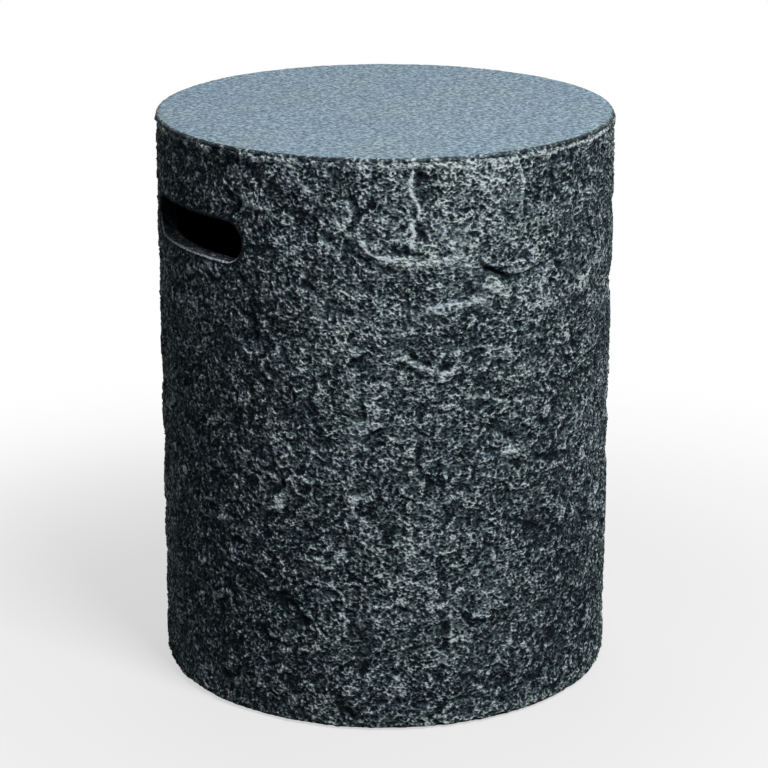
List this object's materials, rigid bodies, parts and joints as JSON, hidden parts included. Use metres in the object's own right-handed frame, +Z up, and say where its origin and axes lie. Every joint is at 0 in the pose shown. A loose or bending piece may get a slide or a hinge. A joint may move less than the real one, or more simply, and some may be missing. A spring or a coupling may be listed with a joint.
{
  "type": "propane tank cover table",
  "caption": "Round hollow cast-stone drum, open below, with a flat bonded top, handle slots and a hose notch in the rim; covers an upright gas cylinder and serves as a side table.",
  "frame": {"origin": "on the ground under the middle of the cover", "axes": "+Z up the drum's axis, +X and -X through the handle slots, +Y through the hose notch at the back"},
  "size_m": [0.4064, 0.4064, 0.508],
  "materials": {
    "side_stone": "rough hewn slate face, dry-brushed high points",
    "top_stone": "fine-grained, smooth",
    "mortar": "raked joint",
    "rubber": "matte",
    "steel": "stainless",
    "brass": "machined"
  },
  "bodies": {
    "root": {"drum_wall": "side_stone", "mortar_joint": "mortar", "table_top": "top_stone", "foot_pad_1": "rubber", "foot_pad_2": "rubber", "foot_pad_3": "rubber", "foot_pad_4": "rubber", "foot_screw_1": "steel", "foot_screw_2": "steel", "foot_screw_3": "steel", "foot_screw_4": "steel", "foot_insert_1": "brass", "foot_insert_2": "brass", "foot_insert_3": "brass", "foot_insert_4": "brass"}
  },
  "joints": []
}
